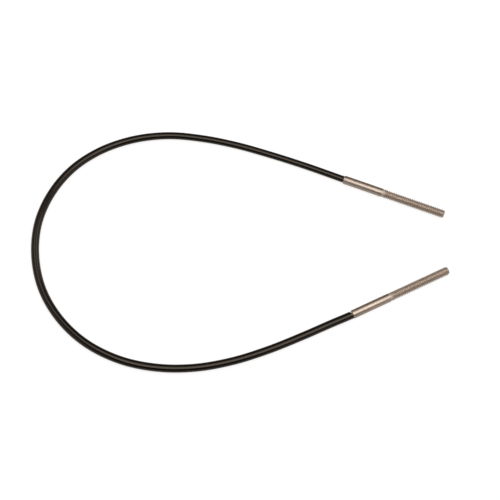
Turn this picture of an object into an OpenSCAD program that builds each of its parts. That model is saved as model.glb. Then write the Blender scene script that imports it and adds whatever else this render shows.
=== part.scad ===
// Double-ended cable release: a push wire in a sheathed casing, with a long threaded
// fitting at each end. Pressing the drive pin at the trigger end drives the tip pin out
// of the camera end, and a spring sends both back. The cable lies flat in an open loop.
// Millimetres, +Z up, origin on the table midway between the two fittings.

/* [End fittings] */
// Outer diameter of the plain sleeve of a fitting
sleeve_d = 4.8; // [4.7:0.05:6]
// Length of the plain sleeve
sleeve_len = 23; // [12:0.5:40]
// Major diameter of the thread, 3/16 inch
thread_d = 4.76; // [4.5:0.01:6]
// Pitch of the thread, 24 turns to the inch
thread_pitch = 1.058; // [0.6:0.001:1.2]
// Length of the thread, with its run-out groove
thread_len = 37; // [20:0.5:50]
// Length of the run-out groove between the sleeve and the thread
groove_len = 1.5; // [0.5:0.1:2]
// Depth of the run-out groove below the thread's crests
groove_depth = 0.2; // [0.15:0.05:0.4]
// Chamfer round the rear edge of a fitting
rear_chamfer = 0.3; // [0.1:0.05:0.4]
// Chamfer in the mouth of the guide bore
mouth_chamfer = 0.2; // [0.1:0.05:0.4]
// Place of the camera-end fitting's rear face along X
camera_end_x = -28.2; // [-32:0.1:-24]
// Place of the camera-end fitting's rear face along Y
camera_end_y = 41.6; // [36:0.1:46]
// Direction of the camera-end fitting, from +X
camera_angle = -21.5; // [-45:0.5:0]
// Place of the trigger-end fitting's rear face along X
trigger_end_x = -25.4; // [-30:0.1:-22]
// Place of the trigger-end fitting's rear face along Y
trigger_end_y = -41.7; // [-46:0.1:-36]
// Direction of the trigger-end fitting, from +X
trigger_angle = 26.5; // [0:0.5:45]

/* [Pins and their travel] */
// Diameter of both pins
pin_d = 1.6; // [1.2:0.05:1.75]
// How far a press moves the pins
throw = 8; // [4:0.5:12]
// How far the pins lie inside the mouths at rest
pin_recess = 0.5; // [0:0.1:2]
// Rounding of a pin's outer end
pin_round = 0.3; // [0.1:0.05:0.5]
// Length of the spigot that joins a pin to its wire socket
spigot_len = 2; // [1:0.5:4]
// Wall of a wire socket
socket_wall = 0.35; // [0.3:0.05:0.5]
// Length of wire that stays in its socket at full travel
wire_hold = 1; // [0.5:0.25:3]
// Length of the collars on the wire sockets
collar_len = 1; // [0.6:0.1:2]
// Distance from the tip pin's socket end to the spring collar
spring_collar_step = 3; // [1:0.5:5]

/* [Return spring] */
// Diameter of the spring wire
spring_wire = 0.3; // [0.2:0.05:0.4]
// Turns of the return spring
spring_turns = 12; // [8:1:14]
// Radial room between the spring and the socket inside it
spring_inside = 0.15; // [0.1:0.05:0.3]
// Radial room between the spring and the chamber round it
spring_outside = 0.1; // [0.05:0.05:0.3]
// Thickness of the spring washer
spring_washer_t = 0.4; // [0.2:0.1:1]
// Thickness of the buffer washer
buffer_washer_t = 0.4; // [0.2:0.1:1]

/* [Cable ends] */
// Length of a retaining bush
bush_len = 3.2; // [2:0.1:5]
// Wall of a retaining bush
bush_wall = 0.25; // [0.2:0.05:0.4]
// Wall of a ferrule's neck
ferrule_wall = 0.3; // [0.2:0.05:0.4]
// Length of a ferrule's flange
flange_len = 1.4; // [0.8:0.1:3]
// Thickness of the lip that closes a ferrule
lip_len = 0.5; // [0.3:0.1:0.7]

/* [Cable] */
// Outer diameter of the sheath at the camera end
sheath_d_camera = 3.85; // [3.4:0.05:4.8]
// Outer diameter of the sheath at the middle of the loop
sheath_d_loop = 4.6; // [3.4:0.05:5]
// Outer diameter of the sheath at the trigger end
sheath_d_trigger = 4.4; // [3.4:0.05:4.8]
// Angle off square at which the sheath's trigger end is cut
sheath_cut = 12; // [0:1:20]
// Diameter of the push wire
wire_d = 1; // [0.8:0.05:1.1]
// Wall of the liner tube
liner_wall = 0.15; // [0.1:0.05:0.2]
// Wall of the wound casing
casing_wall = 0.5; // [0.4:0.05:0.55]
// Radial room of the wire in its liner
wire_room = 0.1; // [0.05:0.05:0.15]
// Radial gap between the layers of the cable
layer_gap = 0.05; // [0.02:0.01:0.1]

/* [Fits] */
// Radial clearance of pieces that slide or turn
fit = 0.05; // [0.02:0.01:0.1]
// Radial gap at pieces that are fixed together
seat_gap = 0.01; // [0.005:0.005:0.02]
// End play of a flange, a collar or a socket
end_play = 0.1; // [0.05:0.05:0.3]

/* [Hidden] */

$fn = 64;
over = 1;

// Layers of the cable, from the wire outwards
liner_bore = wire_d + 2 * wire_room;
liner_d = liner_bore + 2 * liner_wall;
casing_bore = liner_d + 2 * layer_gap;
casing_d = casing_bore + 2 * casing_wall;
sheath_bore = casing_d + 2 * layer_gap;

// The seat of a cable end, from the ferrule outwards
ferrule_bore = casing_d + 2 * layer_gap;
neck_d = ferrule_bore + 2 * ferrule_wall;
bush_bore = neck_d + 2 * fit;
seat_d = bush_bore + 2 * bush_wall;
flange_start = bush_len + end_play;
flange_end = flange_start + flange_len;
seat_end = flange_end + end_play;
casing_end = flange_end - lip_len - end_play;

// Wire sockets, and the chamber that they slide in
socket_bore = wire_d + 2 * fit;
socket_d = socket_bore + 2 * socket_wall;
socket_len = throw + wire_hold + 2 * end_play + spigot_len;
spring_d = socket_d + 2 * spring_inside + 2 * spring_wire;
chamber_d = spring_d + 2 * spring_outside;
guide_bore = pin_d + 2 * fit;
fitting_len = sleeve_len + thread_len;
thread_depth = 0.640327 * thread_pitch;
groove_r = thread_d / 2 - groove_depth;
axis_h = sleeve_d / 2;

// Stations along a fitting at rest, counted from its rear face
tip_socket_start = seat_end + 4 * end_play;
tip_socket_end = tip_socket_start + socket_len;
camera_chamber_end = tip_socket_end + throw + 2 * end_play + spring_washer_t;
drive_socket_start = tip_socket_start + throw;
drive_socket_end = drive_socket_start + socket_len;
trigger_chamber_end = drive_socket_end + 2 * end_play + buffer_washer_t;
wire_end = tip_socket_start + throw + wire_hold;
pin_end = fitting_len - pin_recess;
spring_start = tip_socket_start + spring_collar_step + collar_len + end_play;
spring_end = camera_chamber_end - spring_washer_t - end_play;

// Route of the cable between the fittings' rear faces, x and y
camera_end = [camera_end_x, camera_end_y];
trigger_end = [trigger_end_x, trigger_end_y];
route = [
    [-49, 50], [-68, 57], [-90, 64], [-108, 68], [-129, 70], [-150, 67], [-169, 59],
    [-182, 49], [-192, 36], [-200, 16], [-201, -7], [-196, -27], [-186, -44],
    [-173, -57], [-153, -68], [-130, -73], [-113, -73], [-91, -69], [-73, -63],
    [-52, -54], [-37, -47]
];
// Rings of a cable tube to each stretch of the route
stretch_rings = 2;
sheath_sides = 12;
core_sides = 8;
// Share of the cable over which it comes down from a fitting's axis to the table
descent = 0.12;
// Gap between the sheath's ends and the fittings
butt_gap = 0.05;
// Rings to a turn of the spring, and sides of its wire
turn_rings = 8;
spring_sides = 6;

function heading(angle) = [cos(angle), sin(angle)];
function mix(a, b, t) = a + (b - a) * t;
function ease(t) = let (c = min(max(t, 0), 1)) c * c * (3 - 2 * c);
function unit(v) = v / norm(v);

// The route as one smooth curve that leaves each fitting along its axis
stops = concat([camera_end], route, [trigger_end]);
last_stop = len(stops) - 1;

function chord(i) = norm(stops[i + 1] - stops[i]);
function slope(i) = (stops[i + 1] - stops[i]) / chord(i);
function run(i) =
    i == 0 ? -heading(camera_angle) :
    i == last_stop ? heading(trigger_angle) :
    (slope(i - 1) * chord(i) + slope(i) * chord(i - 1)) / (chord(i - 1) + chord(i));
function curve(i, t) =
    (2 * t * t * t - 3 * t * t + 1) * stops[i]
    + (t * t * t - 2 * t * t + t) * chord(i) * run(i)
    + (3 * t * t - 2 * t * t * t) * stops[i + 1]
    + (t * t * t - t * t) * chord(i) * run(i + 1);

ring_count = last_stop * stretch_rings + 1;
last_ring = ring_count - 1;

// k counts rings from the camera end, and share(k) runs from 0 to 1 along the cable
function share(k) = k / last_ring;
function sheath_d(k) =
    share(k) < 0.5
    ? mix(sheath_d_camera, sheath_d_loop, ease(2 * share(k)))
    : mix(sheath_d_loop, sheath_d_trigger, ease(2 * share(k) - 1));
function height(k) =
    mix(axis_h, sheath_d(k) / 2, ease(min(share(k), 1 - share(k)) / descent));
function centre(k) =
    let (i = min(floor(k / stretch_rings), last_stop - 1))
    let (at = curve(i, k / stretch_rings - i))
    [at.x, at.y, height(k)];
function along(k) =
    k == 0 ? -level(heading(camera_angle)) :
    k == last_ring ? level(heading(trigger_angle)) :
    unit(centre(k + 1) - centre(k - 1));
function level(v) = [v.x, v.y, 0];

// One ring round a centre. A cut end leans back towards the side that across points to.
function ring(at, dir, r, sides, cut = 0, reach = 0) =
    let (across = unit([-dir.y, dir.x, 0]), up = cross(dir, across))
    [
        for (j = [0 : sides - 1])
            let (side = r * cos(360 * j / sides))
            at + side * across + r * sin(360 * j / sides) * up
            - tan(cut) * (reach + side) * dir
    ];

// Flat-sided tubes: a bore's flats keep its radius, and an outside's corners keep theirs
function flats(d, sides) = d / 2 / cos(180 / sides);

function wall_faces(first, second, sides) = [
    for (j = [0 : sides - 1])
        let (a = first * sides + j, b = first * sides + (j + 1) % sides)
        let (c = second * sides + (j + 1) % sides, d = second * sides + j)
        each [[a, c, b], [a, d, c]]
];

// Rings joined end to end and closed at both ends
module rod_through(rings, sides) {
    last = len(rings) - 1;
    polyhedron(
        points = [for (one = rings) each one],
        faces = concat(
            [[for (j = [0 : sides - 1]) j]],
            [for (i = [0 : last - 1]) each wall_faces(i, i + 1, sides)],
            [[for (j = [0 : sides - 1]) last * sides + sides - 1 - j]]
        )
    );
}

// Rings out along the outside and back along the bore, joined into one closed wall
module hollow_through(outside, bore, sides) {
    rings = concat(outside, [for (i = [len(bore) - 1 : -1 : 0]) bore[i]]);
    polyhedron(
        points = [for (one = rings) each one],
        faces = [
            for (i = [0 : len(rings) - 1]) each wall_faces(i, (i + 1) % len(rings), sides)
        ]
    );
}

// Rings of a core layer of radius r that runs on into both fittings as far as reach
function core_rings(r, reach) = concat(
    [ring(centre(0) - reach * along(0), along(0), r, core_sides)],
    [for (k = [0 : last_ring]) ring(centre(k), along(k), r, core_sides)],
    [ring(centre(last_ring) + reach * along(last_ring), along(last_ring), r, core_sides)]
);

// Rings of the sheath, which stops short of both fittings and is cut at the trigger end
function sheath_rings(bore) = [
    for (k = [0 : last_ring])
        let (r = bore ? flats(sheath_bore, sheath_sides) : sheath_d(k) / 2)
        let (back = k == 0 ? butt_gap : k == last_ring ? -butt_gap : 0)
        let (cut = k == last_ring ? sheath_cut : 0)
        ring(centre(k) + back * along(k), along(k), r, sheath_sides, cut, sheath_d(k) / 2)
];

// Places children, drawn along +Z from the origin, on a fitting's axis
module on_camera_axis() {
    translate([camera_end_x, camera_end_y, axis_h])
        rotate([0, 0, camera_angle]) rotate([0, 90, 0]) children();
}

module on_trigger_axis() {
    translate([trigger_end_x, trigger_end_y, axis_h])
        rotate([0, 0, trigger_angle]) rotate([0, 90, 0]) children();
}

module drum(d, start, end) {
    translate([0, 0, start]) cylinder(h = end - start, d = d);
}

module pipe(d, bore, start, end) {
    difference() {
        drum(d, start, end);
        drum(bore, start - over, end + over);
    }
}

// Sleeve, run-out groove and thread blank, with the seat, the chamber and the guide bore
module fitting(chamber_end) {
    difference() {
        rotate_extrude() polygon([
            [0, 0],
            [sleeve_d / 2 - rear_chamfer, 0],
            [sleeve_d / 2, rear_chamfer],
            [sleeve_d / 2, sleeve_len],
            [groove_r, sleeve_len],
            [groove_r, sleeve_len + groove_len - groove_depth],
            [thread_d / 2, sleeve_len + groove_len],
            [thread_d / 2, fitting_len - thread_depth],
            [thread_d / 2 - thread_depth, fitting_len],
            [0, fitting_len]
        ]);
        drum(seat_d, -over, seat_end);
        drum(chamber_d, 0, chamber_end);
        drum(guide_bore, 0, fitting_len + over);
        translate([0, 0, fitting_len - mouth_chamfer])
            cylinder(h = mouth_chamfer + over, d1 = guide_bore,
                     d2 = guide_bore + 2 * (mouth_chamfer + over));
    }
}

// Ring fixed in the rear of a fitting, which keeps the ferrule's flange inside
module bush() {
    pipe(seat_d - 2 * seat_gap, bush_bore, 0, bush_len);
}

// Cap on the casing's end: a neck that turns in the bush, a flange and a lip
module ferrule() {
    difference() {
        union() {
            drum(neck_d, 0, flange_start + over);
            drum(seat_d - 2 * fit, flange_start, flange_end);
        }
        drum(ferrule_bore, -over, flange_end - lip_len);
        drum(liner_bore, 0, flange_end + over);
    }
}

// Pin with a rounded outer end, and a spigot that fits the front of its wire socket
module pin(start) {
    rotate_extrude() polygon([
        [0, start - spigot_len],
        [socket_bore / 2 - seat_gap, start - spigot_len],
        [socket_bore / 2 - seat_gap, start],
        [pin_d / 2, start],
        [pin_d / 2, pin_end - pin_round],
        [pin_d / 2 - pin_round, pin_end],
        [0, pin_end]
    ]);
}

module wire_socket(start) {
    pipe(socket_d, socket_bore, start, start + socket_len);
}

module collar(start) {
    pipe(chamber_d - 2 * fit, socket_d + 2 * seat_gap, start, start + collar_len);
}

module washer(end, thickness) {
    pipe(chamber_d - 2 * seat_gap, guide_bore + 2 * fit, end - thickness, end);
}

// The return spring's wire, from the collar to the washer
spring_r = (spring_d - spring_wire) / 2;
spring_steps = spring_turns * turn_rings;
spring_first = spring_start + spring_wire / 2;
spring_pitch = (spring_end - spring_start - spring_wire) / spring_turns;

function spring_at(k) = [
    spring_r * cos(360 * k / turn_rings),
    spring_r * sin(360 * k / turn_rings),
    spring_first + spring_pitch * k / turn_rings
];
function spring_ring(k) =
    let (turn = 360 * k / turn_rings)
    let (out = [cos(turn), sin(turn), 0])
    let (lead = unit([-sin(turn), cos(turn), spring_pitch / (2 * PI * spring_r)]))
    let (up = cross(out, lead))
    [
        for (j = [0 : spring_sides - 1])
            let (a = 360 * j / spring_sides)
            spring_at(k) + spring_wire / 2 * (cos(a) * out + sin(a) * up)
    ];

spring_self_gap = min([
    for (k = [turn_rings / 2 : spring_steps])
        norm(spring_at(k) - spring_at(max(k - turn_rings, 0)))
]) - spring_wire;
echo(spring_self_gap = spring_self_gap);

module outer_sheath() {
    color("#1c1612") hollow_through(sheath_rings(false), sheath_rings(true), sheath_sides);
}

module wound_casing() {
    color("#8a8479") hollow_through(
        core_rings(casing_d / 2, casing_end),
        core_rings(flats(casing_bore, core_sides), casing_end),
        core_sides
    );
}

module inner_liner() {
    color("#e6e0d2") hollow_through(
        core_rings(liner_d / 2, casing_end),
        core_rings(flats(liner_bore, core_sides), casing_end),
        core_sides
    );
}

module push_wire() {
    color("#a9a49a") rod_through(core_rings(wire_d / 2, wire_end), core_sides);
}

module camera_fitting() {
    color("#b7a792") on_camera_axis() fitting(camera_chamber_end);
}

module camera_bush() {
    color("#b08d57") on_camera_axis() bush();
}

module camera_ferrule() {
    color("#8f8675") on_camera_axis() ferrule();
}

module tip_pin() {
    color("#c9c3b8") on_camera_axis() pin(tip_socket_end);
}

module camera_wire_socket() {
    color("#9c8a62") on_camera_axis() wire_socket(tip_socket_start);
}

module spring_collar() {
    color("#b08d57") on_camera_axis() collar(tip_socket_start + spring_collar_step);
}

module return_spring() {
    color("#7d7a74") on_camera_axis()
        rod_through([for (k = [0 : spring_steps]) spring_ring(k)], spring_sides);
}

module spring_washer() {
    color("#a7a199") on_camera_axis() washer(camera_chamber_end, spring_washer_t);
}

module trigger_fitting() {
    color("#b7a792") on_trigger_axis() fitting(trigger_chamber_end);
}

module trigger_bush() {
    color("#b08d57") on_trigger_axis() bush();
}

module trigger_ferrule() {
    color("#8f8675") on_trigger_axis() ferrule();
}

module drive_pin() {
    color("#c9c3b8") on_trigger_axis() pin(drive_socket_end);
}

module trigger_wire_socket() {
    color("#9c8a62") on_trigger_axis() wire_socket(drive_socket_start);
}

module stop_collar() {
    color("#b08d57") on_trigger_axis() collar(drive_socket_end - collar_len);
}

module buffer_washer() {
    color("#e6e0d2") on_trigger_axis() washer(trigger_chamber_end, buffer_washer_t);
}

outer_sheath();
wound_casing();
inner_liner();
push_wire();
camera_fitting();
camera_bush();
camera_ferrule();
tip_pin();
camera_wire_socket();
spring_collar();
return_spring();
spring_washer();
trigger_fitting();
trigger_bush();
trigger_ferrule();
drive_pin();
trigger_wire_socket();
stop_collar();
buffer_washer();
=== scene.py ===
"""Looks of a double-ended cable release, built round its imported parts.

A push wire runs in a liner, a wound casing and a black sheath, and each end carries a long
fitting with a plain sleeve and a thread. Metres, +Z up, the cable lies on the table.
"""

import math

import bmesh
import bpy
import mathutils
import numpy as np
from bpy.props import FloatProperty, FloatVectorProperty, IntProperty, PointerProperty
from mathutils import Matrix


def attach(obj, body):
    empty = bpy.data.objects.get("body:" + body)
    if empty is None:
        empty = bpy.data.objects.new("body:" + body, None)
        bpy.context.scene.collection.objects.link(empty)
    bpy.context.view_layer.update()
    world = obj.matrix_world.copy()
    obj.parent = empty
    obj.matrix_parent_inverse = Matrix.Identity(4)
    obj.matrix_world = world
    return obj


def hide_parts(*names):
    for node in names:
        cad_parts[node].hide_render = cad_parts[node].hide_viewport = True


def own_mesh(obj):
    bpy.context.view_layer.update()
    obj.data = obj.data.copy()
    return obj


bl_info = {
    "name": "Cable release",
    "version": (1, 0, 0),
    "blender": (4, 5, 0),
    "location": "View3D > Sidebar > Cable release",
    "description": "Builds a double-ended cable release and the studio that it lies in",
    "category": "Object",
}

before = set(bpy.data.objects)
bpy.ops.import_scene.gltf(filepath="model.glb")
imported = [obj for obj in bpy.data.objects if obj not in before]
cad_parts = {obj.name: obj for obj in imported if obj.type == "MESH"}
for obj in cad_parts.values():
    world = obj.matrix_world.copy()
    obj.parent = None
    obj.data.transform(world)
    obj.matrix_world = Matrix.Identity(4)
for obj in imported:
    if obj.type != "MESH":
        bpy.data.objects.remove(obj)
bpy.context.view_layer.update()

MM = 0.001
TURN = 2 * math.pi

# Route of the cable between the rear faces of the fittings, x and y
ROUTE = [
    (-0.049, 0.050), (-0.068, 0.057), (-0.090, 0.064), (-0.108, 0.068), (-0.129, 0.070),
    (-0.150, 0.067), (-0.169, 0.059), (-0.182, 0.049), (-0.192, 0.036), (-0.200, 0.016),
    (-0.201, -0.007), (-0.196, -0.027), (-0.186, -0.044), (-0.173, -0.057),
    (-0.153, -0.068), (-0.130, -0.073), (-0.113, -0.073), (-0.091, -0.069),
    (-0.073, -0.063), (-0.052, -0.054), (-0.037, -0.047),
]
SPAN_STEPS = 24
# Share of the cable over which it comes down from a fitting's axis to the table
DESCENT = 0.12
# How far the drawn line runs on into each fitting
REACH = 0.020

# One turn of thread: phase from the crest and depth as a share of the whole
THREAD_PHASES = [0.0, 0.1, 0.17, 0.3, 0.42, 0.5, 0.58, 0.7, 0.83, 0.9]
THREAD_DEPTHS = [0.0, 0.02, 0.13, 0.54, 0.92, 1.0, 0.92, 0.54, 0.13, 0.02]
# One turn of the wound casing's flat wire, in the same way
WOUND_PHASES = [0.0, 0.14, 0.5, 0.86]
WOUND_DEPTHS = [1.0, 0.0, -0.1, 0.0]

# Sides that stand for a round piece, and rows of points along the cable's layers
SHEATH_SIDES, LAYER_SIDES, WIRE_SIDES = 32, 16, 36
TURNED_SIDES, SOCKET_SIDES, SPRING_SIDES = 48, 40, 10
CASING_ROWS, LINER_ROWS, WIRE_ROWS = 220, 260, 500
# Rings of points to one turn of the return spring
SPRING_RINGS = 40
# Width of the broken edges of small turned pieces, and of the collars
EDGE, COLLAR_EDGE = 0.04 * MM, 0.08 * MM

# Where the camera aims, and the width of its sensor in millimetres
AIM = (-0.0815, -0.0014, 0.0)
SENSOR_WIDTH = 36.0
TABLE_REACH = 4.0
# The lamps face one point from one distance
LAMP_AIM, LAMP_DISTANCE = (-0.08, 0.0, 0.0), 1.4
# Of each lamp: colour, size in metres, tilts about X and Y in degrees
SOFTBOX = ((1.0, 0.975, 0.94), (1.4, 1.15), (11, 4))
WARM_WHITE = (1.0, 0.96, 0.92)
# The smaller lamps, with their power in watts
PANELS = {
    "fill": (2.4, WARM_WHITE, (1.8, 0.6), (-28, 11)),
    "left_panel": (2.1, WARM_WHITE, (0.6, 0.45), (-17, -21)),
    "right_panel": (1.8, WARM_WHITE, (0.5, 0.5), (-26, 38)),
}


def length(name, millimetres, description):
    """A length that a user can change"""
    return FloatProperty(
        name=name, description=description, default=millimetres * MM, min=0.0,
        unit="LENGTH", precision=5,
    )


def place(name, millimetres, description):
    """A point that a user can change"""
    return FloatVectorProperty(
        name=name, description=description, default=[value * MM for value in millimetres],
        size=3, subtype="TRANSLATION", unit="LENGTH", precision=5,
    )


def angle(name, degrees, description):
    """An angle that a user can change"""
    return FloatProperty(
        name=name, description=description, default=math.radians(degrees), subtype="ANGLE"
    )


def colour(name, value, description):
    """A colour that a user can change"""
    return FloatVectorProperty(
        name=name, description=description, default=value, min=0.0, max=1.0,
        size=3, subtype="COLOR",
    )


class ReleaseSizes(bpy.types.PropertyGroup):
    """Sizes of the release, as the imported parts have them"""

    sleeve_diameter: length("Sleeve diameter", 4.8, "Outside of a fitting's plain sleeve")
    sleeve_length: length("Sleeve length", 23.0, "Length of a fitting's plain sleeve")
    fitting_length: length("Fitting length", 60.0, "Length of a whole fitting")
    thread_diameter: length("Thread diameter", 4.76, "Across the crests of the thread")
    thread_pitch: length("Thread pitch", 1.058, "Distance from one crest to the next")
    thread_depth: length("Thread depth", 0.6775, "From the crests down to the roots")
    groove_length: length("Groove length", 1.5, "Run-out groove before the thread")
    groove_depth: length("Groove depth", 0.2, "Run-out groove below the crests")
    rear_chamfer: length("Rear chamfer", 0.3, "Chamfer round a fitting's rear edge")
    seat_diameter: length("Seat diameter", 3.9, "Bore in the rear of a fitting")
    seat_length: length("Seat length", 4.8, "Depth of that bore")
    chamber_diameter: length("Chamber diameter", 2.9, "Bore that the collars slide in")
    chamber_length: length("Chamber length", 25.0, "How deep that bore reaches")
    guide_diameter: length("Guide diameter", 1.7, "Bore that guides a pin")
    pin_diameter: length("Pin diameter", 1.6, "Outside of a pin")
    pin_recess: length("Pin recess", 0.5, "How far a pin's end lies inside at rest")
    camera_place: place("Camera end", (-28.2, 41.6, 2.4), "Middle of that rear face")
    trigger_place: place("Trigger end", (-25.4, -41.7, 2.4), "Middle of that rear face")
    camera_angle: angle("Camera-end angle", -21.5, "Direction of the camera-end fitting")
    trigger_angle: angle("Trigger-end angle", 26.5, "Direction of the trigger-end fitting")
    sheath_camera: length("Sheath at camera end", 3.85, "Outside of the sheath there")
    sheath_loop: length("Sheath in the loop", 4.6, "Outside of the sheath there")
    sheath_trigger: length("Sheath at trigger end", 4.4, "Outside of the sheath there")
    sheath_bore: length("Sheath bore", 2.7, "Inside of the sheath")
    sheath_cut: angle("Sheath cut", 12.0, "How far off square the trigger end is cut")
    casing_diameter: length("Casing diameter", 2.6, "Outside of the wound casing")
    casing_bore: length("Casing bore", 1.6, "Inside of the wound casing")
    casing_pitch: length("Casing pitch", 0.8, "Width of the casing's flat wire")
    liner_diameter: length("Liner diameter", 1.5, "Outside of the liner")
    liner_bore: length("Liner bore", 1.2, "Inside of the liner")
    wire_diameter: length("Wire diameter", 1.0, "Outside of the push wire")
    wire_lay: length("Wire lay", 9.0, "Length of one turn of the wire's strands")
    spring_diameter: length("Spring diameter", 2.7, "Outside of the return spring")
    spring_wire: length("Spring wire", 0.3, "Diameter of the spring's wire")
    spring_turns: IntProperty(
        name="Spring turns", description="Turns of the return spring", default=12, min=3
    )
    sides: IntProperty(
        name="Sides", description="Flat sides that stand for a round fitting", default=64, min=12
    )


class ReleaseFinish(bpy.types.PropertyGroup):
    """Colours of the release"""

    sheath: colour("Sheath", (0.002, 0.0013, 0.0008), "Warm black plastic")
    sheath_worn: colour("Worn sheath", (0.0045, 0.0033, 0.0023), "Plastic dulled by handling")
    plating: colour("Plating", (0.283, 0.232, 0.193), "Warm nickel plating of the fittings")
    # Paler colour painted on the thread's flanks and roots: painted light that lifts the shade
    # in the grooves
    painted_groove_light: colour("Painted groove light", (0.55, 0.488, 0.437), "The thread's flanks and roots")
    bare_metal: colour("Bare metal", (0.40, 0.36, 0.325), "Freshly cut run-out and lead")
    steel: colour("Steel", (0.52, 0.50, 0.48), "Pins, ferrules and washer")
    spring_steel: colour("Spring steel", (0.30, 0.29, 0.29), "Spring and wound casing")
    brass: colour("Brass", (0.68, 0.49, 0.24), "Bushes, sockets and collars")
    nylon: colour("Nylon", (0.72, 0.69, 0.61), "Liner and buffer washer")


class StudioSettings(bpy.types.PropertyGroup):
    """The table, the lamps and the camera"""

    table: colour("Table", (0.93, 0.93, 0.93), "Plain pale table")
    table_glow: FloatProperty(
        name="Table glow", description="How much of the table's white shows without shadow",
        default=0.8, min=0.0, max=1.0, subtype="FACTOR",
    )
    softbox: FloatProperty(
        name="Softbox", description="Power of the overhead softbox", default=22.0, min=0.0,
        subtype="POWER",
    )
    surround: FloatProperty(
        name="Surround", description="Strength of the room's dim walls", default=1.0, min=0.0
    )
    lens: FloatProperty(
        name="Lens", description="Focal length of the camera", default=136.8, min=10.0,
        subtype="DISTANCE_CAMERA",
    )
    tilt: angle("Tilt", 25.0, "How far the camera leans from straight down")
    distance: FloatProperty(
        name="Distance", description="From the camera to the table", default=1.062, min=0.1,
        unit="LENGTH",
    )


# Shapes ---------------------------------------------------------------------------------


def ease(t):
    """A smooth step from 0 to 1"""
    t = np.clip(t, 0.0, 1.0)
    return t * t * (3 - 2 * t)


def heading(turn):
    """A level direction"""
    return np.array([math.cos(turn), math.sin(turn), 0.0])


def unit(vectors):
    """Vectors of length one"""
    return vectors / np.linalg.norm(vectors, axis=-1, keepdims=True)


class Line:
    """A centre line that pieces are wrapped round, with two directions across it"""

    def __init__(self, points, side=None):
        self.points = np.asarray(points, float)
        steps = np.linalg.norm(np.diff(self.points, axis=0), axis=1)
        self.arc = np.concatenate([[0.0], np.cumsum(steps)])
        self.heading = unit(np.gradient(self.points, self.arc, axis=0))
        if side is None:
            side = np.cross([0.0, 0.0, 1.0], self.heading)
        self.up = unit(np.cross(self.heading, side))
        self.side = np.cross(self.up, self.heading)

    def at(self, arcs, table):
        """A table's values at distances along the line"""
        return np.stack(
            [np.interp(arcs, self.arc, table[:, axis]) for axis in range(3)], axis=-1
        )

    def wrap(self, arcs, radii, sides, twist=0.0):
        """Rows of points round the line, the seam's column twice"""
        turns = np.linspace(0.0, TURN, sides + 1)
        shape = np.broadcast_shapes(np.shape(arcs), np.shape(radii), (1, sides + 1))
        arcs, radii = np.broadcast_to(arcs, shape), np.broadcast_to(radii, shape)
        spin = turns + twist * arcs
        return (
            self.at(arcs, self.points)
            + (radii * np.cos(spin))[..., None] * self.at(arcs, self.side)
            + (radii * np.sin(spin))[..., None] * self.at(arcs, self.up)
        ), arcs


def end_line(end):
    """The axis of one end's fitting, from its rear face to its tip"""
    s = bpy.context.scene.release_sizes
    steps = np.linspace(0.0, s.fitting_length, 13)[:, None]
    return Line(
        np.array(getattr(s, f"{end}_place")) + steps * heading(getattr(s, f"{end}_angle"))
    )


def column(*values):
    """Numbers as a column, one row of points each"""
    return np.array(values, float)[:, None]


class Skin:
    """Bands of points that become one closed mesh"""

    def __init__(self, sides):
        self.sides = sides
        self.points, self.faces, self.maps, self.relief, self.cut = [], [], [], [], []
        self.count = 0

    def band(self, line, arcs, radii, relief=0.0, cut=0.0, twist=0.0):
        """Adds rows of points round a line, joined row to row"""
        points, arcs = line.wrap(arcs, radii, self.sides, twist)
        rows, columns = arcs.shape
        index = self.count + np.arange(rows * columns).reshape(rows, columns)
        self.count += rows * columns
        self.faces.append(
            np.stack([index[:-1, :-1], index[:-1, 1:], index[1:, 1:], index[1:, :-1]], -1)
            .reshape(-1, 4)
        )
        around = np.broadcast_to(np.linspace(0.0, 1.0, columns), (rows, columns))
        self.maps.append(np.stack([around, arcs / MM], -1).reshape(-1, 2))
        self.points.append(points.reshape(-1, 3))
        for name, value in (("relief", relief), ("cut", cut)):
            getattr(self, name).append(np.broadcast_to(value, (rows, columns)).ravel())
        return self

    def build(self, name, finish, slot, body, replaces, sharp=35.0):
        """The piece itself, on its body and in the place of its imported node"""
        mesh = bpy.data.meshes.new(name)
        faces = np.concatenate(self.faces)
        mesh.from_pydata(np.concatenate(self.points), [], faces)
        layout = mesh.uv_layers.new(name="Along")
        corners = np.concatenate(self.maps)[faces.ravel()]
        layout.data.foreach_set("uv", corners.astype(np.float32).ravel())
        for label in ("relief", "cut"):
            layer = mesh.attributes.new(label, "FLOAT", "POINT")
            layer.data.foreach_set(
                "value", np.concatenate(getattr(self, label)).astype(np.float32)
            )
        joined = bmesh.new()
        joined.from_mesh(mesh)
        bmesh.ops.remove_doubles(joined, verts=joined.verts, dist=1e-7)
        bmesh.ops.dissolve_degenerate(joined, edges=joined.edges, dist=1e-8)
        bmesh.ops.recalc_face_normals(joined, faces=joined.faces)
        joined.to_mesh(mesh)
        joined.free()
        mesh.shade_smooth()
        mesh.set_sharp_from_angle(angle=math.radians(sharp))
        mesh.materials.append(finish)
        piece = bpy.data.objects.new(name, mesh)
        bpy.context.scene.collection.objects.link(piece)
        if len(mesh.polygons) == 0:
            raise RuntimeError(f"{name} has no faces")
        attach(piece, body)
        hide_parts(replaces)
        return piece


def edge_breaks(profile, size):
    """A closed profile of stations and radii, with each corner cut back a little"""
    points = np.array(profile, float)
    cut = []
    for before, here, after in zip(np.roll(points, 1, 0), points, np.roll(points, -1, 0)):
        for other in (before, after):
            gap = np.linalg.norm(other - here)
            cut.append(here + (other - here) * min(size / gap, 0.3))
    return np.array(cut + cut[:1])


def ring(line, bore, outside, start, end, sides=TURNED_SIDES, size=EDGE):
    """A turned tube, as a skin"""
    profile = edge_breaks(
        [(start, bore / 2), (start, outside / 2), (end, outside / 2), (end, bore / 2)], size
    )
    return Skin(sides).band(line, profile[:, :1], profile[:, 1:])


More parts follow.
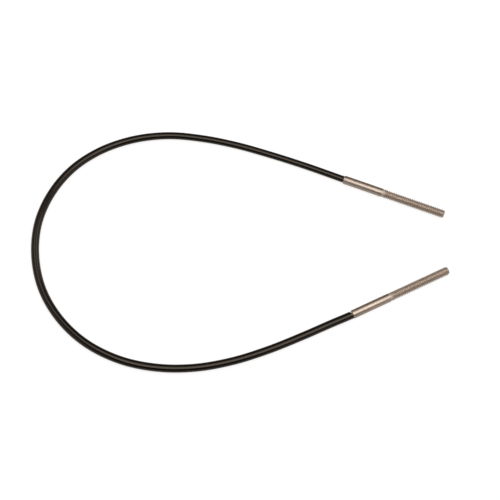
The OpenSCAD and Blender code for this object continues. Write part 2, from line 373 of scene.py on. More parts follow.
class Sizes:
    """Stations along a fitting and radii, worked out from the release's sizes"""

    def __init__(self, s):
        self.s = s
        self.fit, self.seat_gap, self.play = 0.05 * MM, 0.01 * MM, 0.1 * MM
        neck_wall, socket_wall = 0.3 * MM, 0.35 * MM
        flange, lip = 1.4 * MM, 0.5 * MM
        self.neck = s.sheath_bore + 2 * neck_wall
        self.bush_bore = self.neck + 2 * self.fit
        self.bush_end = 3.2 * MM
        self.flange_start = self.bush_end + self.play
        self.flange_end = self.flange_start + flange
        self.lip_start = self.flange_end - lip
        self.casing_end = self.lip_start - self.play
        self.socket_bore = s.wire_diameter + 2 * self.fit
        self.socket = self.socket_bore + 2 * socket_wall
        self.sockets = {"camera": (5.2 * MM, 16.4 * MM), "trigger": (13.2 * MM, 24.4 * MM)}
        self.wire_end = 14.2 * MM
        self.pin_end = s.fitting_length - s.pin_recess
        self.collar = s.chamber_diameter - 2 * self.fit
        self.washer = s.chamber_diameter - 2 * self.seat_gap


def sizes():
    """The sizes that the scene holds, with what follows from them"""
    return Sizes(bpy.context.scene.release_sizes)


def cable_line():
    """The cable's centre line, which runs on into both fittings, and each point's share"""
    s = bpy.context.scene.release_sizes
    camera, trigger = np.array(s.camera_place), np.array(s.trigger_place)
    stops = np.array([camera[:2], *ROUTE, trigger[:2]])
    steps = np.diff(stops, axis=0)
    chords = np.linalg.norm(steps, axis=1)[:, None]
    slopes = steps / chords
    runs = np.empty_like(stops)
    runs[0], runs[-1] = -heading(s.camera_angle)[:2], heading(s.trigger_angle)[:2]
    runs[1:-1] = (slopes[:-1] * chords[1:] + slopes[1:] * chords[:-1]) / (
        chords[:-1] + chords[1:]
    )
    t = np.linspace(0.0, 1.0, SPAN_STEPS, endpoint=False)[None, :, None]
    first, second = stops[:-1, None], stops[1:, None]
    level = (
        (2 * t**3 - 3 * t**2 + 1) * first
        + (t**3 - 2 * t**2 + t) * chords[:, None] * runs[:-1, None]
        + (3 * t**2 - 2 * t**3) * second
        + (t**3 - t**2) * chords[:, None] * runs[1:, None]
    ).reshape(-1, 2)
    level = np.vstack([level, stops[-1]])
    share = np.linspace(0.0, 1.0, len(level))
    radius = sheath_radius(share)
    down = ease(np.minimum(share, 1 - share) / DESCENT)
    height = camera[2] + (radius - camera[2]) * down
    middle = np.column_stack([level, height])
    reach = np.linspace(REACH, 0.0, 12, endpoint=False)[:, None]
    line = Line(np.vstack([
        camera + reach * heading(s.camera_angle), middle,
        (trigger + reach * heading(s.trigger_angle))[::-1],
    ]))
    line.share = np.concatenate([np.zeros(len(reach)), share, np.ones(len(reach))])
    line.start = line.arc[len(reach)]
    line.end = line.arc[-len(reach) - 1]
    return line


def sheath_radius(share):
    """Outside radius of the sheath at a share of its length"""
    s = bpy.context.scene.release_sizes
    first = s.sheath_camera + (s.sheath_loop - s.sheath_camera) * ease(2 * share)
    second = s.sheath_loop + (s.sheath_trigger - s.sheath_loop) * ease(2 * share - 1)
    return np.where(share < 0.5, first, second) / 2


def helical_rows(start, end, pitch, phases, depths, sides):
    """Rows of points that follow a thread or a winding: their stations and depth shares"""
    turns = math.ceil((end - start) / pitch)
    stations = pitch * (np.arange(-1, turns)[:, None] + np.array(phases)).ravel()
    lead = pitch * np.linspace(0.0, 1.0, sides + 1)
    arcs = np.clip(start + stations[:, None] + lead, start, end)
    phase = ((arcs - start - lead) / pitch) % 1.0
    share = np.interp(phase, [*phases, 1.0], [*depths, depths[0]])
    return arcs, share


# Effects that several finishes share -----------------------------------------------------


def add(tree, kind, sockets=None, **settings):
    """A node with its settings, its numbers and its links"""
    node = tree.nodes.new(kind)
    for name, value in settings.items():
        setattr(node, name, value)
    for name, value in (sockets or {}).items():
        if isinstance(value, bpy.types.NodeSocket):
            tree.links.new(value, node.inputs[name])
        else:
            node.inputs[name].default_value = value
    return node


def maths(tree, operation, *values, clamp=False):
    """A step of arithmetic between numbers and sockets"""
    return add(tree, "ShaderNodeMath", dict(enumerate(values)), operation=operation,
               use_clamp=clamp).outputs[0]


def ranged(tree, value, low=0.0, high=1.0, start=0.0, stop=1.0, kind="LINEAR"):
    """A value between start and stop, turned into one between low and high"""
    return add(tree, "ShaderNodeMapRange", {
        "Value": value, "From Min": start, "From Max": stop, "To Min": low, "To Max": high,
    }, interpolation_type=kind).outputs["Result"]


def effect(name, inputs, outputs):
    """An empty effect: its tree, and the sockets that it takes from and gives to"""
    tree = bpy.data.node_groups.new(name, "ShaderNodeTree")
    for label, kind, value in inputs:
        socket = tree.interface.new_socket(label, in_out="INPUT", socket_type=kind)
        if value is not None:
            socket.default_value = value
    for label, kind in outputs:
        tree.interface.new_socket(label, in_out="OUTPUT", socket_type=kind)
    given, out = tree.nodes.new("NodeGroupInput"), tree.nodes.new("NodeGroupOutput")
    return tree, given.outputs, out.inputs


def mottle_effect():
    """Soft clouds in a surface: a mask from 0 to 1"""
    tree, given, out = effect(
        "Mottle",
        [
            ("Place", "NodeSocketVector", None),
            ("Cloud size", "NodeSocketFloat", 0.01),
            ("Contrast", "NodeSocketFloat", 0.5),
        ],
        [("Mask", "NodeSocketFloat")],
    )
    noise = add(tree, "ShaderNodeTexNoise", {
        "Vector": given["Place"], "Scale": maths(tree, "DIVIDE", 1.0, given["Cloud size"]),
        "Detail": 4.0, "Roughness": 0.55,
    })
    low = maths(tree, "SUBTRACT", 0.5, given["Contrast"])
    high = maths(tree, "ADD", 0.5, given["Contrast"])
    mask = ranged(tree, noise.outputs["Fac"], start=low, stop=high)
    tree.links.new(mask, out["Mask"])
    return tree


def ring_marks_effect():
    """Fine marks that a lathe leaves round a piece: a height and a mask"""
    tree, given, out = effect(
        "Ring marks",
        [
            ("Map", "NodeSocketVector", None),
            ("Place", "NodeSocketVector", None),
            ("Marks per mm", "NodeSocketFloat", 6.0),
        ],
        [("Height", "NodeSocketFloat"), ("Mask", "NodeSocketFloat")],
    )
    parts = add(tree, "ShaderNodeSeparateXYZ", {0: given["Map"]})
    drift = add(tree, "ShaderNodeTexNoise", {
        "Vector": given["Place"], "Scale": 400.0, "Detail": 1.0,
    })
    along = maths(tree, "MULTIPLY_ADD", drift.outputs["Fac"], 0.12, parts.outputs["Y"])
    noise = add(tree, "ShaderNodeTexNoise", {
        "W": along, "Scale": given["Marks per mm"], "Detail": 3.0, "Roughness": 0.7,
    }, noise_dimensions="1D")
    tree.links.new(noise.outputs["Fac"], out["Height"])
    mask = ranged(tree, noise.outputs["Fac"], start=0.35, stop=0.65)
    tree.links.new(mask, out["Mask"])
    return tree


def scuffs_effect():
    """Short fine scratches from handling: a mask from 0 to 1"""
    tree, given, out = effect(
        "Scuffs",
        [
            ("Place", "NodeSocketVector", None),
            ("Scratch size", "NodeSocketFloat", 0.002),
            ("Amount", "NodeSocketFloat", 0.3),
        ],
        [("Mask", "NodeSocketFloat")],
    )
    warped = add(tree, "ShaderNodeTexNoise", {
        "Vector": given["Place"], "Scale": 300.0, "Detail": 2.0,
    })
    place = add(tree, "ShaderNodeVectorMath", {
        0: warped.outputs["Color"], 1: (0.004, 0.004, 0.004), 2: given["Place"],
    }, operation="MULTIPLY_ADD")
    cells = add(tree, "ShaderNodeTexVoronoi", {
        "Vector": place.outputs[0], "Scale": maths(tree, "DIVIDE", 1.0, given["Scratch size"]),
    }, feature="DISTANCE_TO_EDGE")
    line = ranged(tree, cells.outputs["Distance"], 1.0, 0.0, stop=0.035)
    patches = add(tree, "ShaderNodeTexNoise", {
        "Vector": given["Place"], "Scale": 180.0, "Detail": 3.0,
    })
    where = ranged(tree, patches.outputs["Fac"], start=0.5, stop=0.66)
    both = maths(tree, "MULTIPLY", line, where)
    tree.links.new(maths(tree, "MULTIPLY", both, given["Amount"]), out["Mask"])
    return tree


EFFECTS = {"Mottle": mottle_effect, "Ring marks": ring_marks_effect, "Scuffs": scuffs_effect}


def use(tree, name, sockets):
    """Places a shared effect, which is built the first time"""
    group = bpy.data.node_groups.get(name) or EFFECTS[name]()
    return add(tree, "ShaderNodeGroup", sockets, node_tree=group)


def blended(tree, factor, first, second):
    """Two colours mixed by a mask"""
    mix = add(tree, "ShaderNodeMix", data_type="RGBA")
    for socket, value in ((mix.inputs[0], factor), (mix.inputs[6], first),
                          (mix.inputs[7], second)):
        if isinstance(value, bpy.types.NodeSocket):
            tree.links.new(value, socket)
        elif isinstance(value, float):
            socket.default_value = value
        else:
            socket.default_value = (*value, 1.0)
    return mix.outputs[2]


# Finishes --------------------------------------------------------------------------------


class Finish:
    """A material under way: its tree, its shader and its coordinates"""

    def __init__(self, name, **shader):
        self.material = bpy.data.materials.new(name)
        self.material.use_nodes = True
        self.tree = self.material.node_tree
        self.shader = self.tree.nodes["Principled BSDF"]
        for label, value in shader.items():
            self.shader.inputs[label.replace("_", " ").title().replace("Ior", "IOR")] \
                .default_value = value
        here = add(self.tree, "ShaderNodeTexCoord")
        self.place, self.map = here.outputs["Object"], here.outputs["UV"]

    def set(self, label, value):
        """Feeds a socket of the shader"""
        self.tree.links.new(value, self.shader.inputs[label])

    def mask(self, name, **sockets):
        """A shared effect's mask at this piece's place"""
        named = {label.replace("_", " ").capitalize(): value for label, value in sockets.items()}
        return use(self.tree, name, {"Place": self.place, **named}).outputs["Mask"]

    def attribute(self, label):
        """A value that the mesh carries"""
        return add(self.tree, "ShaderNodeAttribute", attribute_name=label).outputs["Fac"]

    def bump(self, height, distance, strength=1.0, normal=None):
        """A fine relief"""
        sockets = {"Height": height, "Distance": distance, "Strength": strength}
        if normal is not None:
            sockets["Normal"] = normal
        return add(self.tree, "ShaderNodeBump", sockets).outputs["Normal"]


def finish_named(name, maker):
    """A finish, made the first time that it is asked for"""
    return bpy.data.materials.get(name) or maker(name)


def sheath_finish(name):
    """Extruded black plastic: die lines along it, fine grain, dulled patches and scuffs"""
    look = bpy.context.scene.release_finish
    made = Finish(name, roughness=0.15, specular_ior_level=0.26,
                  specular_tint=(1.0, 0.86, 0.74, 1.0))
    tree = made.tree
    clouds = made.mask("Mottle", cloud_size=0.012, contrast=0.28)
    grain = made.mask("Mottle", cloud_size=0.00035, contrast=0.3)
    scuffs = made.mask("Scuffs", scratch_size=0.004, amount=0.6)
    worn = maths(tree, "MULTIPLY_ADD", clouds, 0.45, scuffs, clamp=True)
    made.set("Base Color", blended(tree, worn, look.sheath, look.sheath_worn))
    rough = maths(tree, "MULTIPLY_ADD", grain, 0.3, worn)
    made.set("Roughness", ranged(tree, rough, 0.1, 0.18))
    parts = add(tree, "ShaderNodeSeparateXYZ", {0: made.map})
    die = add(tree, "ShaderNodeTexNoise", {
        "W": parts.outputs["X"], "Scale": 46.0, "Detail": 2.0,
    }, noise_dimensions="1D")
    normal = made.bump(die.outputs["Fac"], 0.01 * MM, 0.4)
    made.set("Normal", made.bump(grain, 0.003 * MM, 0.5, normal))
    return made.material


def plating_finish(name):
    """Worn nickel plating: turning marks, painted light on the thread's flanks and roots, bright
    cut metal
    """
    look = bpy.context.scene.release_finish
    made = Finish(name, metallic=1.0, roughness=0.42,
                  specular_tint=(0.6, 0.47, 0.36, 1.0))
    tree = made.tree
    clouds = made.mask("Mottle", cloud_size=0.006, contrast=0.22)
    scuffs = made.mask("Scuffs", scratch_size=0.0022, amount=0.5)
    marks = use(tree, "Ring marks", {
        "Map": made.map, "Place": made.place, "Marks per mm": 7.0,
    })
    relief, cut = made.attribute("relief"), made.attribute("cut")
    # The deeper the thread, the more painted light goes on the plating in its grooves; soft
    # clouds add random tone
    roots = ranged(tree, relief, stop=0.7)
    mottle_and_groove_light = maths(tree, "MULTIPLY_ADD", clouds, 0.2, roots, clamp=True)
    plating_and_groove_light = blended(tree, mottle_and_groove_light, look.plating, look.painted_groove_light)
    made.set("Base Color", blended(tree, cut, plating_and_groove_light, look.bare_metal))
    s = bpy.context.scene.release_sizes
    thread_from = (s.sleeve_length + s.groove_length) / MM
    along = add(tree, "ShaderNodeSeparateXYZ", {0: made.map}).outputs["Y"]
    threaded = ranged(tree, along, start=thread_from - 1.0, stop=thread_from)
    dull = maths(tree, "MULTIPLY_ADD", marks.outputs["Mask"], 0.35, scuffs)
    dull = maths(tree, "MULTIPLY_ADD", threaded, 0.2, dull)
    dull = maths(tree, "MULTIPLY_ADD", cut, 0.7, dull)
    made.set("Roughness", ranged(tree, dull, 0.36, 0.64))
    made.set("Normal", made.bump(marks.outputs["Height"], 0.006 * MM, 0.5))
    return made.material


def turned_metal(name, tint, low, high):
    """A small turned piece of one metal, with lathe marks and uneven oxide"""
    made = Finish(name, metallic=1.0, roughness=(low + high) / 2)
    tree = made.tree
    clouds = made.mask("Mottle", cloud_size=0.0012, contrast=0.25)
    marks = use(tree, "Ring marks", {
        "Map": made.map, "Place": made.place, "Marks per mm": 9.0,
    })
    oxide = tuple(0.6 * channel for channel in tint)
    made.set("Base Color", blended(tree, maths(tree, "MULTIPLY", clouds, 0.5), tint, oxide))
    made.set("Roughness", ranged(tree, marks.outputs["Mask"], low, high))
    made.set("Normal", made.bump(marks.outputs["Height"], 0.005 * MM, 0.5))
    return made.material


def steel_finish(name):
    """Turned steel"""
    return turned_metal(name, bpy.context.scene.release_finish.steel, 0.2, 0.34)


def brass_finish(name):
    """Turned brass"""
    return turned_metal(name, bpy.context.scene.release_finish.brass, 0.24, 0.4)


def drawn_finish(name):
    """Drawn spring wire: dark, oiled, with faint streaks"""
    return turned_metal(name, bpy.context.scene.release_finish.spring_steel, 0.26, 0.42)


def nylon_finish(name):
    """Milky nylon: soft clouds, a little light under the surface"""
    look = bpy.context.scene.release_finish
    made = Finish(name, roughness=0.42, subsurface_weight=0.2, subsurface_scale=0.0004)
    tree = made.tree
    clouds = made.mask("Mottle", cloud_size=0.003, contrast=0.25)
    yellowed = tuple(c * f for c, f in zip(look.nylon, (0.94, 0.88, 0.74)))
    made.set("Base Color", blended(tree, clouds, look.nylon, yellowed))
    grain = made.mask("Mottle", cloud_size=0.0003, contrast=0.3)
    made.set("Roughness", ranged(tree, grain, 0.36, 0.5))
    made.set("Normal", made.bump(grain, 0.004 * MM, 0.5))
    return made.material


# Pieces ----------------------------------------------------------------------------------


class RELEASE_OT_studio(bpy.types.Operator):
    """Make the table, the lamps, the room and the camera"""

    bl_idname = "release.studio"
    bl_label = "Studio"
    bl_options = {"REGISTER", "UNDO"}

    def execute(self, context):
        studio = context.scene.studio_settings
        context.scene.view_settings.view_transform = "Standard"
        self.camera(context, studio)
        self.table(context, studio)
        self.lamps(context, studio)
        self.room(context, studio)
        if context.scene.camera is None:
            raise RuntimeError("the studio has no camera")
        return {"FINISHED"}

    def camera(self, context, studio):
        data = bpy.data.cameras.new("camera")
        data.lens, data.sensor_width, data.sensor_fit = studio.lens, SENSOR_WIDTH, "HORIZONTAL"
        eye = bpy.data.objects.new("camera", data)
        context.scene.collection.objects.link(eye)
        back = np.array([0.0, -math.sin(studio.tilt), math.cos(studio.tilt)])
        eye.location = np.array(AIM) + back * studio.distance
        eye.rotation_euler = (studio.tilt, 0.0, 0.0)
        context.scene.camera = eye

    def table(self, context, studio):
        mesh = bpy.data.meshes.new("table")
        corners = [(x * TABLE_REACH, y * TABLE_REACH, 0)
                   for x, y in ((-1, -1), (1, -1), (1, 1), (-1, 1))]
        mesh.from_pydata(corners, [], [(0, 1, 2, 3)])
        top = bpy.data.objects.new("table", mesh)
        context.scene.collection.objects.link(top)
        material = bpy.data.materials.new("table")
        material.use_nodes = True
        tree = material.node_tree
        tree.nodes.remove(tree.nodes["Principled BSDF"])
        ray = add(tree, "ShaderNodeLightPath").outputs
        seen = maths(tree, "MAXIMUM", ray["Is Camera Ray"], ray["Is Glossy Ray"])
        seen = maths(tree, "MAXIMUM", seen, ray["Is Transmission Ray"])
        share = maths(tree, "MULTIPLY", seen, studio.table_glow)
        lit = add(tree, "ShaderNodeBsdfDiffuse", {"Color": (*studio.table, 1.0)})
        white = add(tree, "ShaderNodeEmission", {"Color": (1, 1, 1, 1), "Strength": 1.0})
        both = add(tree, "ShaderNodeMixShader", {
            0: share, 1: lit.outputs[0], 2: white.outputs[0],
        })
        tree.links.new(both.outputs[0], tree.nodes["Material Output"].inputs["Surface"])
        mesh.materials.append(material)

    def lamps(self, context, studio):
        reach = mathutils.Vector((0.0, 0.0, LAMP_DISTANCE))
        for name, lamp in {"softbox": (studio.softbox, *SOFTBOX), **PANELS}.items():
            power, tint, size, (about_x, about_y) = lamp
            data = bpy.data.lights.new(name, "AREA")
            data.shape, (data.size, data.size_y) = "RECTANGLE", size
            data.energy, data.color = power, tint
            panel = bpy.data.objects.new(name, data)
            panel.rotation_euler = (math.radians(about_x), math.radians(about_y), 0.0)
            panel.location = (
                mathutils.Vector(LAMP_AIM) + panel.rotation_euler.to_matrix() @ reach
            )
            context.scene.collection.objects.link(panel)

    def room(self, context, studio):
        world = bpy.data.worlds.new("room")
        context.scene.world = world
        world.use_nodes = True
        tree = world.node_tree
        toward = add(tree, "ShaderNodeTexCoord").outputs["Generated"]
        parts = add(tree, "ShaderNodeSeparateXYZ", {0: toward})
        walls = add(tree, "ShaderNodeValToRGB", {0: parts.outputs["Z"]})
        stops = walls.color_ramp.elements
        stops[0].position, stops[0].color = 0.0, (0.18, 0.15, 0.12, 1.0)
        stops[1].position, stops[1].color = 1.0, (0.16, 0.15, 0.14, 1.0)
        dim = stops.new(0.45)
        dim.color = (0.04, 0.034, 0.028, 1.0)
        across = parts.outputs["X"]
        right = ranged(tree, across, start=0.35, stop=0.9, kind="SMOOTHSTEP")
        left = ranged(tree, across, high=0.8, start=-0.4, stop=-0.9, kind="SMOOTHSTEP")
        lit = blended(tree, maths(tree, "ADD", right, left), walls.outputs["Color"],
                      (1.1, 1.0, 0.92))
        background = tree.nodes["Background"]
        tree.links.new(lit, background.inputs["Color"])
        background.inputs["Strength"].default_value = studio.surround


class RELEASE_OT_sheath(bpy.types.Operator):
    """Make the sheath, which lies in a loose loop from one fitting to the other"""

    bl_idname = "release.sheath"
    bl_label = "Sheath"
    bl_options = {"REGISTER", "UNDO"}

    def execute(self, context):
        s = context.scene.release_sizes
        line = cable_line()
        gap, edge, lead = 0.05 * MM, 0.08 * MM, 2.2 * MM
        inner = (line.arc > line.start + lead) & (line.arc < line.end - lead)
        turns = np.cos(np.linspace(0.0, TURN, SHEATH_SIDES + 1))
        arcs = line.arc[inner][:, None] + 0 * turns
        slope, bore = math.tan(s.sheath_cut), s.sheath_bore / 2
        first, last = s.sheath_camera / 2, s.sheath_trigger / 2
        start, end = line.start + gap, line.end - gap

        def front(inward=0.0):
            return np.full((1, SHEATH_SIDES + 1), start + inward)

        def rear(radius, inward=0.0):
            return end - inward - slope * (last + radius * turns)[None, :]

        rows = [
            (front(), bore), (front(), first - edge), (front(edge), first),
            (arcs, sheath_radius(line.share[inner])[:, None]),
            (rear(last, edge), last), (rear(last - edge), last - edge), (rear(bore), bore),
            (arcs[::-4], bore), (front(), bore),
        ]
        stations = np.vstack([row for row, _ in rows])
        reach = np.vstack([np.broadcast_to(r, row.shape) for row, r in rows])
        sheath = Skin(SHEATH_SIDES).band(line, stations, reach).build(
            "cable_sheath", finish_named("sheath_plastic", sheath_finish),
            "black_sheath", "cable", "outer_sheath", sharp=38.0,
        )
        self.inner_layers(line)
        return {"FINISHED"}

    def inner_layers(self, line):
        """The wound casing, the liner and the stranded push wire inside the sheath"""
        z = sizes()
        s = z.s
        start, end = line.start - z.casing_end, line.end + z.casing_end
        arcs, share = helical_rows(
            start, end, s.casing_pitch, WOUND_PHASES, WOUND_DEPTHS, LAYER_SIDES
        )
        groove, fade = 0.1 * MM, 0.3 * MM
        outside = s.casing_diameter / 2
        closed = ease((arcs - start) / fade) * ease((end - arcs) / fade)
        radii = outside - groove * np.maximum(share, 0) * closed
        bore = np.linspace(end, start, CASING_ROWS)[:, None]
        steel = finish_named("drawn_steel", drawn_finish)
        Skin(LAYER_SIDES).band(line, arcs, radii, relief=share).band(
            line, np.vstack([[end], bore, [start]]),
            np.vstack([[outside], np.full_like(bore, s.casing_bore / 2), [outside]]),
        ).build("casing_winding", steel, "casing_steel", "cable", "wound_casing")
        along = np.linspace(start, end, LINER_ROWS)[:, None]
        Skin(LAYER_SIDES).band(
            line, np.vstack([along, along[::-1], along[:1]]),
            np.vstack([np.full_like(along, s.liner_diameter / 2),
                       np.full_like(along, s.liner_bore / 2), [[s.liner_diameter / 2]]]),
        ).build("liner_tube", finish_named("milky_nylon", nylon_finish), "liner_plastic",
                "cable", "inner_liner", sharp=50.0)
        strands, strand = 6, s.wire_diameter / 6
        half = TURN / strands / 2
        off = (np.linspace(0.0, TURN, WIRE_SIDES + 1) + half) % (2 * half) - half
        outline = 2 * strand * np.cos(off) + np.sqrt(
            np.maximum(strand**2 - (2 * strand * np.sin(off)) ** 2, 0.0)
        )
        along = np.linspace(line.start - z.wire_end, line.end + z.wire_end, WIRE_ROWS)[:, None]
        Skin(WIRE_SIDES).band(
            line, np.vstack([along[:1], along, along[-1:]]),
            np.vstack([0 * outline, np.broadcast_to(outline, (WIRE_ROWS, WIRE_SIDES + 1)),
                       0 * outline]),
            twist=TURN / s.wire_lay,
        ).build("strand_wire", steel, "stranded_wire", "cable", "push_wire", sharp=50.0)


# The body that each end's fitting is
ENDS = {"camera": "camera_end", "trigger": "trigger_end"}


class RELEASE_OT_fittings(bpy.types.Operator):
    """Make the two fittings: plain sleeve, run-out groove and cut thread"""

    bl_idname = "release.fittings"
    bl_label = "Fittings"
    bl_options = {"REGISTER", "UNDO"}

    def execute(self, context):
        for end, body in ENDS.items():
            self.fitting(context.scene.release_sizes, end_line(end), end, body)
        return {"FINISHED"}

    def fitting(self, s, line, end, body):
        sleeve, crest = s.sleeve_diameter / 2, s.thread_diameter / 2
        groove = crest - s.groove_depth
        thread_start = s.sleeve_length + s.groove_length
        lead_start = s.fitting_length - s.thread_depth
        tip = crest - s.thread_depth
        guide, mouth = s.guide_diameter / 2, 0.2 * MM
        edge, edge_rise = 0.06 * MM, 0.01 * MM
        run_in, pale_turns = 1.3 * s.thread_pitch, 0.9 * s.thread_pitch
        pale, lead_pale, lead_fade = 0.7, 0.35, 0.3 * MM
        skin = Skin(s.sides)
        skin.band(
            line,
            column(0, 0, s.rear_chamfer, s.rear_chamfer + edge, s.sleeve_length - edge,
                   s.sleeve_length),
            column(s.seat_diameter / 2, sleeve - s.rear_chamfer, sleeve - edge_rise, sleeve,
                   sleeve, sleeve - edge),
        )
        skin.band(
            line,
            column(s.sleeve_length, s.sleeve_length,
                   thread_start - s.groove_depth, thread_start),
            column(sleeve - edge, groove, groove, crest),
            relief=column(0, 0.1, 0.1, 0), cut=column(0, 1, 1, 0.75),
        )
        arcs, share = helical_rows(
            thread_start, s.fitting_length, s.thread_pitch, THREAD_PHASES, THREAD_DEPTHS,
            s.sides,
        )
        share = share * ease((arcs - thread_start) / run_in)
        cut_in = np.minimum(crest - s.thread_depth * share, crest - (arcs - lead_start))
        depth = (crest - cut_in) / s.thread_depth
        bright = pale * (1 - ease((arcs - thread_start) / pale_turns))
        bright = np.maximum(bright, lead_pale * ease((arcs - lead_start) / lead_fade))
        # relief runs from 0 at the crests to 1 at the roots, and the plating finish paints light
        # into the grooves by it
        relief = np.where(arcs > lead_start, share, depth)
        skin.band(line, arcs, cut_in, relief=relief, cut=bright)
        skin.band(
            line,
            column(s.fitting_length, s.fitting_length, s.fitting_length,
                   s.fitting_length - mouth, s.chamber_length, s.chamber_length,
                   s.seat_length, s.seat_length, 0),
            column(tip, tip - edge, guide + mouth, guide, guide, s.chamber_diameter / 2,
                   s.chamber_diameter / 2, s.seat_diameter / 2, s.seat_diameter / 2),
            cut=column(*[lead_pale] * 4, *[0] * 5),
        )
        skin.build(f"{end}_end_stem", finish_named("nickel_plating", plating_finish),
                   "fitting_metal", body, f"{end}_fitting", sharp=40.0)


class RELEASE_OT_swivels(bpy.types.Operator):
    """Make the bushes and ferrules, which let each fitting turn on the cable"""

    bl_idname = "release.swivels"
    bl_label = "Swivels"
    bl_options = {"REGISTER", "UNDO"}

    def execute(self, context):
        z = sizes()
        s = z.s
        brass = finish_named("turned_brass", brass_finish)
        steel = finish_named("turned_steel", steel_finish)
        for end, body in ENDS.items():
            line = end_line(end)
            ring(line, z.bush_bore, s.seat_diameter - 2 * z.seat_gap, 0.0, z.bush_end).build(
                f"{end}_end_bush_ring", brass, "bush_brass", body, f"{end}_bush"
            )
            profile = edge_breaks([
                (0.0, s.sheath_bore / 2), (0.0, z.neck / 2), (z.flange_start, z.neck / 2),
                (z.flange_start, s.seat_diameter / 2 - z.fit),
                (z.flange_end, s.seat_diameter / 2 - z.fit), (z.flange_end, s.liner_bore / 2),
                (z.lip_start, s.liner_bore / 2), (z.lip_start, s.sheath_bore / 2),
            ], EDGE)
            Skin(TURNED_SIDES).band(line, profile[:, :1], profile[:, 1:]).build(
                f"{end}_end_cap", steel, "ferrule_steel", "cable", f"{end}_ferrule"
            )
        return {"FINISHED"}


class RELEASE_OT_rods(bpy.types.Operator):
    """Make the two pins with their wire sockets and collars"""

    bl_idname = "release.rods"
    bl_label = "Rods"
    bl_options = {"REGISTER", "UNDO"}

    def execute(self, context):
        z = sizes()
        brass = finish_named("turned_brass", brass_finish)
        steel = finish_named("turned_steel", steel_finish)
        collar, collar_step = 1.0 * MM, 3.0 * MM
        places = [
            ("camera", "tip_rod", z.sockets["camera"][0] + collar_step, "tip_pin",
             "camera_wire_socket", "spring_collar"),
            ("trigger", "drive_rod", z.sockets["trigger"][1] - collar, "drive_pin",
             "trigger_wire_socket", "stop_collar"),
        ]
        for end, body, at, pin, socket, collar_node in places:
            line = end_line(end)
            start, stop = z.sockets[end]
            self.pin(line, z, stop).build(
                f"{pin}_rod", steel, "pin_steel", body, pin, sharp=40.0
            )
            ring(line, z.socket_bore, z.socket, start, stop, SOCKET_SIDES).build(
                f"{socket}_tube", brass, "socket_brass", body, socket
            )
            ring(line, z.socket + 2 * z.seat_gap, z.collar, at, at + collar,
                 size=COLLAR_EDGE).build(
                f"{collar_node}_ring", brass, "bush_brass", body, collar_node
            )
        return {"FINISHED"}

    def pin(self, line, z, start):
        """A pin with a spigot at one end and a rounded nose at the other"""
        radius, spigot = z.s.pin_diameter / 2, z.socket_bore / 2 - z.seat_gap
        nose, edge, spigot_length = 0.3 * MM, 0.05 * MM, 2 * MM
        bend = np.linspace(0.0, math.pi / 2, 8)
        rear = start - spigot_length
        arcs = np.concatenate([
            [rear, rear, rear + edge, start, start, start + edge],
            z.pin_end - nose + nose * np.sin(bend), [z.pin_end],
        ])
        radii = np.concatenate([
            [0.0, spigot - edge, spigot, spigot, radius - edge, radius],
            radius - nose + nose * np.cos(bend), [0.0],
        ])
        return Skin(TURNED_SIDES).band(line, arcs[:, None], radii[:, None])


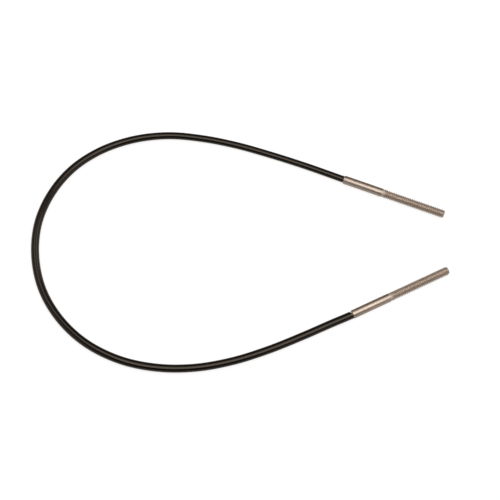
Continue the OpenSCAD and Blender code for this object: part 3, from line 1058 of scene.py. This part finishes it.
class RELEASE_OT_return_spring(bpy.types.Operator):
    """Make the return spring and the two washers"""

    bl_idname = "release.return_spring"
    bl_label = "Return spring"
    bl_options = {"REGISTER", "UNDO"}

    def execute(self, context):
        z = sizes()
        s = z.s
        axis = end_line("camera")
        start, end = 9.3 * MM, 24.5 * MM
        steps = SPRING_RINGS * s.spring_turns
        dead, blend, closed_share = 0.7, 0.6, 1.08
        turn = np.linspace(0.0, s.spring_turns, steps + 1)
        open_turn = ease((turn - dead) / blend) * ease((s.spring_turns - dead - turn) / blend)
        closed = s.spring_wire * closed_share
        travel = end - start - s.spring_wire
        spread = (travel - closed * s.spring_turns) / np.mean(open_turn)
        rise = (closed + spread / s.spring_turns * open_turn) / (steps / s.spring_turns)
        station = start + s.spring_wire / 2 + np.concatenate([[0.0], np.cumsum(rise[1:])])
        station = start + s.spring_wire / 2 + (station - station[0]) * travel / (
            station[-1] - station[0]
        )
        across = (np.cos(turn * TURN)[:, None] * axis.at(station, axis.side)
                  + np.sin(turn * TURN)[:, None] * axis.at(station, axis.up))
        coil = (s.spring_diameter - s.spring_wire) / 2
        line = Line(axis.at(station, axis.points) + coil * across, side=across)
        radius = s.spring_wire / 2
        arcs = np.concatenate([[0.0], line.arc, line.arc[-1:]])[:, None]
        radii = np.concatenate([[0.0], np.full(len(line.arc), radius), [0.0]])[:, None]
        spring = Skin(SPRING_SIDES).band(line, arcs, radii).build(
            "coil_spring", finish_named("drawn_steel", drawn_finish), "spring_steel",
            "camera_end", "return_spring", sharp=60.0,
        )
        anchor = axis.at(np.array(end), axis.points)
        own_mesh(spring)
        steel = finish_named("turned_steel", steel_finish)
        nylon = finish_named("milky_nylon", nylon_finish)
        washers = [
            ("camera", "spring_washer", "washer_steel", steel),
            ("trigger", "buffer_washer", "liner_plastic", nylon),
        ]
        thickness = 0.4 * MM
        for end_name, node, slot, finish in washers:
            ring(end_line(end_name), s.guide_diameter + 2 * z.fit, z.washer,
                 s.chamber_length - thickness, s.chamber_length).build(
                f"{node}_disc", finish, slot, ENDS[end_name], node
            )
        return {"FINISHED"}


class RELEASE_PT_panel(bpy.types.Panel):
    """Buttons for the pieces, in the order in which they are made"""

    bl_idname = "RELEASE_PT_panel"
    bl_label = "Cable release"
    bl_space_type = "VIEW_3D"
    bl_region_type = "UI"
    bl_category = "Cable release"

    def draw(self, context):
        for piece in OPERATORS:
            self.layout.operator(piece.bl_idname)
        for group in (context.scene.release_sizes, context.scene.release_finish,
                      context.scene.studio_settings):
            box = self.layout.box()
            for name in group.bl_rna.properties.keys():
                if name not in ("rna_type", "name"):
                    box.prop(group, name)


OPERATORS = (
    RELEASE_OT_studio, RELEASE_OT_sheath, RELEASE_OT_fittings, RELEASE_OT_swivels,
    RELEASE_OT_rods, RELEASE_OT_return_spring,
)
GROUPS = {
    "release_sizes": ReleaseSizes, "release_finish": ReleaseFinish,
    "studio_settings": StudioSettings,
}


def register():
    """Makes the classes known and gives the scene its settings"""
    for made in (*GROUPS.values(), *OPERATORS, RELEASE_PT_panel):
        bpy.utils.register_class(made)
    for name, group in GROUPS.items():
        setattr(bpy.types.Scene, name, PointerProperty(type=group))


def unregister():
    """Takes the settings and the classes away again"""
    for name in GROUPS:
        delattr(bpy.types.Scene, name)
    for made in reversed((*GROUPS.values(), *OPERATORS, RELEASE_PT_panel)):
        bpy.utils.unregister_class(made)


def main():
    """Makes every piece"""
    register()
    for piece in OPERATORS:
        name = piece.bl_idname.split(".")[1]
        getattr(bpy.ops.release, name)()


if __name__ == "__main__":
    main()
